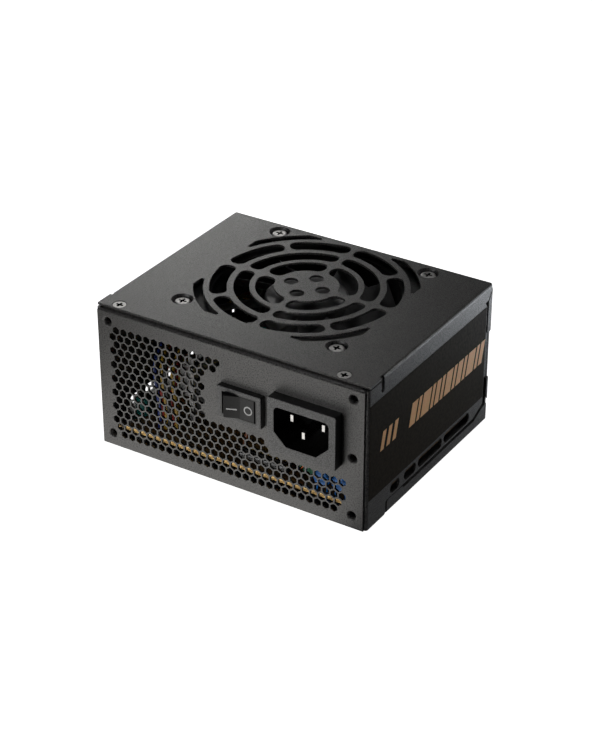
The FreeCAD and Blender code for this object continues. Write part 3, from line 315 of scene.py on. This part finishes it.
def bezel_plastic(name, front, face_dark, face_light, border=None):
    """Eroded grey front face; behind it smooth black moulding, darkened further as painted shade on the side
    faces and in the cavity; a painted shadow in a border given as (x, z, half x, half z).
    """
    paint = Paint(name)
    fine = paint.noise(0.45, 3.0, 0.7)
    behind = paint.beyond("Y", front + BEZEL_FACE_DEPTH)
    if border:
        x, z, half_x, half_z = border
        # painted shadow: the border's box around the rocker's opening is painted near-black
        inner = paint.math("MULTIPLY", paint.within(paint.apart("X", x), half_x),
                           paint.within(paint.apart("Z", z), half_z))
        behind = paint.math("MAXIMUM", behind, inner)
    face = paint.ramp(fine, [(0.38, face_dark), (0.62, face_light)])
    # near-black behind the face: black moulding, with painted shade on the sides and in the cavity
    black_with_shade = paint.ramp(paint.noise(3.0), [(0.3, grey(0.006)), (0.7, grey(0.010))])
    paint.colour(paint.mix(behind, face, black_with_shade))
    paint.rough(paint.spread(behind, 0.5, 0.16, (0.0, 1.0)))
    paint.bump(fine, 0.05, 0.8)
    return paint.material


def screw_metal(name, face):
    """Dull nickel heads with recesses darkened as painted shade; face gives a mask, 1 on the heads and 0 in
    the recesses.
    """
    paint = Paint(name)
    fine = paint.noise(0.5, 3.0, 0.6)
    head = paint.ramp(fine, [(0.3, grey(0.34, 0.02)), (0.7, grey(0.52, 0.02))])
    # painted shade: near-black in the cross recesses
    shaded_recess = paint.ramp(fine, [(0.3, grey(0.004)), (0.7, grey(0.010))])
    paint.colour(paint.mix(face(paint), shaded_recess, head))
    paint.rough(paint.spread(fine, 0.46, 0.34))
    paint.bump(fine, 0.01, 0.5)
    paint.set(metallic=1.0)
    return paint.material


def cover_screw_face(paint):
    """1 on the flat heads of the top screws, which look up, and of the rear ones, which look back; 0
    elsewhere, where painted shade goes.
    """
    top = paint.beyond("Z", TOP_SCREW_FACE, 0.02)
    rear = paint.beyond("Y", REAR_SCREW_FACE, 0.02)
    return paint.mix(paint.beyond("Y", 0), top, rear)


def fan_screw_face(paint):
    """1 outside the middle of each fan screw's head, and on its top; 0 in the recess, where painted shade
    goes.
    """
    along, across = [paint.within(paint.apart(axis, middle, FAN_SCREW_AWAY), FAN_SCREW_RECESS)
                     for axis, middle in zip("XY", FAN_MIDDLE)]
    shaded_recess = paint.math("MULTIPLY", along, across)
    low = paint.node("Math", operation="SUBTRACT")
    low.inputs[0].default_value = 1.0
    paint.link(shaded_recess, low.inputs[1])
    return paint.math("MAXIMUM", low.outputs[0], paint.beyond("Z", FAN_SCREW_FACE, 0.02))


def rocker_plastic(name):
    """Satin black rocker, a little greyer on the half with the ring; the half with the bar is darkened as
    painted shade.
    """
    paint = Paint(name)
    fine = paint.noise(0.6, 2.0)
    shaded_bar_half = paint.ramp(fine, [(0.35, grey(0.002)), (0.65, grey(0.003))])
    lit_ring_half = paint.ramp(fine, [(0.35, grey(0.014)), (0.65, grey(0.020))])
    # painted shade: the bar's half darker and the ring's half greyer, changing across ROCKER_SHADE
    paint.colour(paint.mix(paint.beyond("X", *ROCKER_SHADE), shaded_bar_half, lit_ring_half))
    paint.rough(paint.spread(fine, 0.40, 0.34))
    paint.bump(fine, 0.004, 0.5)
    paint.set(specular=0.18)
    return paint.material


def board_laminate(name):
    """Dark mask with brown patches on top, bare pale laminate on the sawn front edge."""
    paint = Paint(name)
    fine = paint.noise(0.9, 3.0, 0.6)
    edge = paint.ramp(fine, [(0.3, (0.66, 0.37, 0.10)), (0.7, (1.0, 0.70, 0.28))])
    blobs = paint.noise(5.0, 3.0, 0.7)
    patches = paint.ramp(blobs, [(0.42, (0.035, 0.022, 0.008)), (0.58, (0.12, 0.065, 0.018))])
    behind = paint.beyond("Y", BOARD_EDGE)
    paint.colour(paint.mix(behind, edge, patches))
    paint.rough(paint.spread(fine, 0.5, 0.35))
    paint.bump(fine, 0.02, 0.5)
    return paint.material


def sink_metal(name):
    """Rolled aluminium plate, with painted shade darkening its upward faces."""
    paint = Paint(name)
    fine = paint.noise(0.6, 3.0, 0.6, (1, 1, 0.05))
    rolled = paint.ramp(fine, [(0.3, grey(0.55)), (0.7, grey(0.75))])
    # painted shade on the faces that look up
    paint.colour(paint.mix(paint.upward(), rolled, grey(0.06)))
    paint.rough(paint.spread(fine, 0.55, 0.42))
    paint.bump(fine, 0.006, 0.5)
    paint.set(metallic=1.0)
    return paint.material


def blade_metal(name, tip):
    """Nickel with a painted highlight on the tip and painted shade darkening the blade behind it."""
    paint = Paint(name)
    fine = paint.noise(0.6, 2.0)
    lit_tip = paint.ramp(fine, [(0.3, grey(0.42, 0.02)), (0.7, grey(0.55, 0.02))])
    shaded_blade = paint.ramp(fine, [(0.3, grey(0.05)), (0.7, grey(0.08))])
    # painted highlight on the tip, painted shade on the blade behind it
    paint.colour(paint.mix(paint.beyond("Y", tip + 0.03, 0.02), lit_tip, shaded_blade))
    paint.rough(paint.spread(fine, 0.32, 0.22))
    paint.set(metallic=1.0)
    return paint.material


def can_sleeve(name, dark, light):
    """Glossy shrunk sleeve with a bare aluminium top."""
    paint = Paint(name)
    fine = paint.noise(1.2, 2.0)
    sleeve = paint.ramp(fine, [(0.3, dark), (0.7, light)])
    top = paint.upward()
    paint.colour(paint.mix(top, sleeve, grey(0.12)))
    paint.rough(paint.spread(fine, 0.3, 0.22))
    paint.link(top, paint.shader.inputs["Metallic"])
    paint.bump(fine, 0.01, 0.4)
    return paint.material


def grey(value, warm=0.0):
    return (value * (1 + warm), value, value * (1 - warm))


WIRES = {
    "yellow": ((0.22, 0.13, 0.01), (0.32, 0.20, 0.02)),
    "red": ((0.20, 0.010, 0.006), (0.30, 0.02, 0.012)),
    "blue": ((0.008, 0.016, 0.10), (0.012, 0.03, 0.17)),
    "black": ((0.01, 0.01, 0.01), (0.02, 0.02, 0.02)),
    "brown": ((0.10, 0.030, 0.010), (0.16, 0.050, 0.020)),
    "green": ((0.02, 0.14, 0.03), (0.14, 0.24, 0.03)),
}


def make_materials():
    made = {}

    def add(maker, name, *values, **named):
        made[name] = maker(name, *values, **named)

    add(powder_coat, "case_black", grey(0.004, 0.03), grey(0.084, 0.03), 0.38)
    add(plastic, "label_dark", (0.020, 0.016, 0.0115), (0.028, 0.022, 0.015), 0.50, 1.2, 0.003, specular=0.03)
    add(metal, "screw_nickel", grey(0.24, 0.02), grey(0.38, 0.02), 0.34, 0.4)
    add(metal, "steel", grey(0.4), grey(0.55), 0.3)
    add(bezel_plastic, "inlet_black", INLET_FRONT, grey(0.010), grey(0.085))
    add(metal, "pin_metal", grey(0.55, 0.02), grey(0.7, 0.02), 0.2)
    add(blade_metal, "power_blade_metal", POWER_TIP)
    add(blade_metal, "earth_blade_metal", EARTH_TIP)
    add(bezel_plastic, "switch_black", SWITCH_FRONT, grey(0.010), grey(0.075), SWITCH_SHADOW_BORDER)
    add(plastic, "fan_black", grey(0.060), grey(0.075), 0.34, 2.0, 0.004, specular=0.5)
    add(rocker_plastic, "rocker_black")
    add(screw_metal, "cover_screw_metal", cover_screw_face)
    add(screw_metal, "fan_screw_metal", fan_screw_face)
    add(plastic, "fan_frame_black", grey(0.005), grey(0.008), 0.5, 0.8, 0.01, specular=0.15)
    add(plastic, "magnet_black", grey(0.01), grey(0.02), 0.6)
    add(metal, "bronze", (0.45, 0.27, 0.12), (0.6, 0.38, 0.18), 0.35)
    add(metal, "lamination", grey(0.25), grey(0.4), 0.4, 0.5, 0.01, (1, 1, 6))
    add(metal, "copper_wire", (0.50, 0.15, 0.06), (0.78, 0.28, 0.12), 0.22)
    add(board_laminate, "board_tan")
    add(plastic, "board_green", (0.004, 0.018, 0.008), (0.007, 0.030, 0.013), 0.35, 1.5)
    add(plastic, "ferrite", grey(0.02), grey(0.05), 0.6)
    add(plastic, "core_green", (0.02, 0.09, 0.05), (0.03, 0.14, 0.07), 0.4)
    add(plastic, "core_yellow", (0.5, 0.38, 0.06), (0.62, 0.5, 0.12), 0.45)
    add(plastic, "tape_yellow", (0.50, 0.33, 0.03), (0.65, 0.45, 0.06), 0.3, 2.0)
    add(sink_metal, "aluminium_sink")
    add(plastic, "package_black", grey(0.015), grey(0.03), 0.5)
    add(can_sleeve, "sleeve_black", grey(0.010), grey(0.018))
    add(can_sleeve, "sleeve_teal", (0.004, 0.07, 0.065), (0.008, 0.11, 0.095))
    add(plastic, "film_yellow", (0.5, 0.3, 0.03), (0.6, 0.4, 0.05), 0.3)
    add(plastic, "disc_blue", (0.003, 0.10, 0.36), (0.008, 0.16, 0.52), 0.35)
    add(plastic, "insulation_film", grey(0.02), grey(0.03), 0.3)
    add(plastic, "socket_black", grey(0.012), grey(0.02), 0.4)
    add(metal, "pin_gold", (0.7, 0.5, 0.2), (0.85, 0.65, 0.3), 0.25)
    for colour, (low, high) in WIRES.items():
        add(plastic, "wire_" + colour, low, high, 0.35, 1.0)
    add(plastic, "print_copper", (0.96, 0.50, 0.20), (1.0, 0.58, 0.26), 0.38, 0.5, 0.002)
    add(plastic, "print_grey", grey(0.30), grey(0.42), 0.5, 0.3, 0.002)
    return made


# ---- rounded edges of the CAD nodes -----------------------------------------------------------
WELD_REACH = 1e-6
EDGE_BEVELS = {"ac_panel": (0.08, 1), "cover": (0.08, 1), "base_tray": (0.08, 1),
               "inlet_body": (0.2, 2), "switch_body": (0.15, 2)}


def edge_bevel(name, width, segments, angle=35):
    """Rounds a sheet-metal or moulded node's sharp edges so that they catch the light."""
    node = NODES[name]
    weld = node.modifiers.new("weld", "WELD")
    weld.merge_threshold = WELD_REACH
    bevel = node.modifiers.new("bevel", "BEVEL")
    bevel.width = width * MM
    bevel.segments = segments
    bevel.limit_method = "ANGLE"
    bevel.angle_limit = math.radians(angle)
    bevel.harden_normals = True


# ---- pieces in mesh code ------------------------------------------------------------------------
def piece(name, shape, paint, body, smooth=False):
    """Turns a finished bmesh, in millimetres, into a shown piece riding on a body."""
    mesh = bpy.data.meshes.new(name)
    bmesh.ops.scale(shape, vec=(MM, MM, MM), verts=shape.verts)
    bmesh.ops.recalc_face_normals(shape, faces=shape.faces)
    for face in shape.faces:
        face.smooth = smooth
    shape.to_mesh(mesh)
    shape.free()
    mesh.materials.append(MATERIALS[paint])
    made = new_object(name, mesh)
    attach(made, body)
    return made


def loop_faces(shape, rings, closed):
    """Quads between successive rings of vertices."""
    last = len(rings) if closed else len(rings) - 1
    for index in range(last):
        first, second = rings[index], rings[(index + 1) % len(rings)]
        for k in range(len(first)):
            following = (k + 1) % len(first)
            shape.faces.new((first[k], first[following], second[following], second[k]))


def tube_loop(shape, path, radius, sides=6):
    """A closed round wire along a closed path of points."""
    count = len(path)
    rings = []
    for index, point in enumerate(path):
        run = (path[(index + 1) % count] - path[index - 1]).normalized()
        middle = sum(path, Vector()) / count
        out = (point - middle)
        out = (out - run * out.dot(run)).normalized()
        side = run.cross(out)
        ring = []
        for k in range(sides):
            angle = 2 * math.pi * k / sides
            ring.append(shape.verts.new(point + (out * math.cos(angle) + side * math.sin(angle)) * radius))
        rings.append(ring)
    loop_faces(shape, rings, True)


def turn_path(outer, inner, half, gap, corner_steps=3):
    """Rounded rectangle around a ring core's section, as (distance from the ring's axis, along the axis)."""
    points = []
    for cx, cy, start in ((outer, half, 0), (inner, half, 90), (inner, -half, 180), (outer, -half, 270)):
        for step in range(corner_steps):
            angle = math.radians(start + 90 * step / (corner_steps - 1))
            points.append((cx + gap * math.cos(angle), cy + gap * math.sin(angle)))
    return points


# node, centre, axis of the ring, (outer radius, inner radius, width) of the core, wire's thickness, spans
WINDINGS = (
    ("pfc_winding", Vector((51.0, 17.0, 23.9)), "x", (13.5, 6.0, 9.0), 1.3, [(-70, 250)]),
    ("emi_winding", Vector((31.5, -36.5, 17.6)), "y", (7.2, 3.8, 6.0), 1.3, [(-68, 68), (112, 248)]),
    ("output_winding", Vector((-46.0, -4.0, 14.4)), "z", (10.0, 5.0, 8.0), 1.4, [(-160, 160)]),
)


def wound_wire(name, centre, axis, radii, thick, spans):
    """Separate round turns of wire in place of a winding's plain sleeve."""
    outer, inner, width = radii
    radius = thick * 0.48
    shape = bmesh.new()
    section = turn_path(outer, inner, width / 2, thick / 2 + 0.04)
    along = {"x": Vector((1, 0, 0)), "y": Vector((0, 1, 0)), "z": Vector((0, 0, 1))}[axis]
    first = {"x": Vector((0, 1, 0)), "y": Vector((1, 0, 0)), "z": Vector((1, 0, 0))}[axis]
    second = {"x": Vector((0, 0, 1)), "y": Vector((0, 0, 1)), "z": Vector((0, 1, 0))}[axis]
    pitch = math.degrees(2.02 * radius / (inner - thick / 2))
    for start, end in spans:
        count = int((end - start) / pitch)
        for turn in range(count):
            angle = math.radians(start + (turn + 0.5) * (end - start) / count)
            out = first * math.cos(angle) + second * math.sin(angle)
            tube_loop(shape, [centre + out * r + along * w for r, w in section], radius)
    made = piece(name, shape, "copper_wire", "case", smooth=True)
    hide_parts(name)


def slab(shape, outline, normal, depth):
    """A flat prism from its outline's points, pushed along a normal."""
    low = [shape.verts.new(point) for point in outline]
    high = [shape.verts.new(point + normal * depth) for point in outline]
    shape.faces.new(low[::-1])
    shape.faces.new(high)
    for k in range(len(low)):
        following = (k + 1) % len(low)
        shape.faces.new((low[k], low[following], high[following], high[k]))


LABEL_X = 62.62
PRINT_THICK = 0.03
BAR_WIDTHS = (4.6, 2.2, 6.4, 2.2, 3.4, 2.2, 5.2, 2.2, 4.0, 2.2, 6.0, 2.2, 3.2)
BAR_GAP = 1.15
BAR_Z = (30.6, 40.4)
SLANT = 2.6
LONG_BARS_START = -18.0
SHORT_BARS_START = -40.0
SHORT_BARS = 3
SHORT_BAR_PITCH = 4.6
SHORT_BAR_WIDTH = 2.6
SHORT_BAR_Z = (31.5, 39.5)
SHORT_SLANT = 2.1


def label_print():
    """Plain slanted copper bars along the label, and three short ones ahead of them."""
    shape = bmesh.new()
    out = Vector((1, 0, 0))

    def bar(y, width, low, high, slant):
        outline = [(y, low), (y + width, low), (y + width + slant, high), (y + slant, high)]
        slab(shape, [Vector((LABEL_X, u, v)) for u, v in outline], out, PRINT_THICK)

    y = LONG_BARS_START
    for width in BAR_WIDTHS:
        bar(y, width, *BAR_Z, SLANT)
        y += width + BAR_GAP
    for index in range(SHORT_BARS):
        bar(SHORT_BARS_START + index * SHORT_BAR_PITCH, SHORT_BAR_WIDTH, *SHORT_BAR_Z, SHORT_SLANT)
    piece("label_print", shape, "print_copper", "case")


ROCKER_PIVOT = Vector((7.2, -49.8, 39.8))
ROCKER_TILT = math.radians(11.0)
ROCKER_VALLEY = 3.1
ROCKER_END = (6.278, 4.283)
MARK_THICK = 0.05
MARK_SUNK = 0.02
RING_RADII = (1.9, 1.4)
RING_SEGMENTS = 40
BAR_MARK_HALVES = (2.1, 0.27)


def rocker_face(side, reach, rise):
    """Centre, direction along the face, and outward normal, on one half of the rocker as it stands."""
    end_u, end_w = ROCKER_END
    along = Vector((side * end_u, -(end_w - ROCKER_VALLEY), 0)).normalized()
    tilt = Matrix.Rotation(ROCKER_TILT, 3, "Z")
    start = Vector((0, -ROCKER_VALLEY, 0))
    normal = Vector((along.y, -along.x, 0)) if side > 0 else Vector((-along.y, along.x, 0))
    return ROCKER_PIVOT + tilt @ (start + along * reach) + Vector((0, 0, rise)), tilt @ along, tilt @ normal


def rocker_marks():
    """Raised ring on the half that is pressed for off, and a bar on the half pressed for on."""
    up = Vector((0, 0, 1))
    shape = bmesh.new()
    centre, along, normal = rocker_face(1, 3.7, -0.3)
    outer, inner = RING_RADII
    section = ((outer, -MARK_SUNK), (outer, MARK_THICK), (inner, MARK_THICK), (inner, -MARK_SUNK))
    rings = []
    for radius, height in section:
        ring = []
        for k in range(RING_SEGMENTS):
            angle = 2 * math.pi * k / RING_SEGMENTS
            place = centre + (along * math.cos(angle) + up * math.sin(angle)) * radius + normal * height
            ring.append(shape.verts.new(place))
        rings.append(ring)
    loop_faces(shape, rings, True)
    piece("rocker_ring_mark", shape, "print_grey", "rocker")
    shape = bmesh.new()
    centre, along, normal = rocker_face(-1, 3.3, -0.9)
    half_long, half_high = BAR_MARK_HALVES
    signs = ((-1, -1), (1, -1), (1, 1), (-1, 1))
    corners = [centre + along * (half_long * i) + up * (half_high * j) for i, j in signs]
    slab(shape, [corner - normal * MARK_SUNK for corner in corners], normal, MARK_THICK + MARK_SUNK)
    piece("rocker_bar_mark", shape, "print_grey", "rocker")


OWN_PAINT = {"fan_frame": "fan_frame_black", "switch_rocker": "rocker_black",
             "cover_screws": "cover_screw_metal", "fan_screws": "fan_screw_metal",
             "inlet_power_pins": "power_blade_metal", "inlet_earth_pin": "earth_blade_metal"}

make_camera()
make_floor()
make_lights()
MATERIALS = make_materials()
for name, node in NODES.items():
    slot = node.data.materials[0].name.split(".")[0]
    node.material_slots[0].material = MATERIALS[OWN_PAINT.get(name, slot)]

for name, (width, segments) in EDGE_BEVELS.items():
    edge_bevel(name, width, segments)
label_print()
rocker_marks()
for winding in WINDINGS:
    wound_wire(*winding)
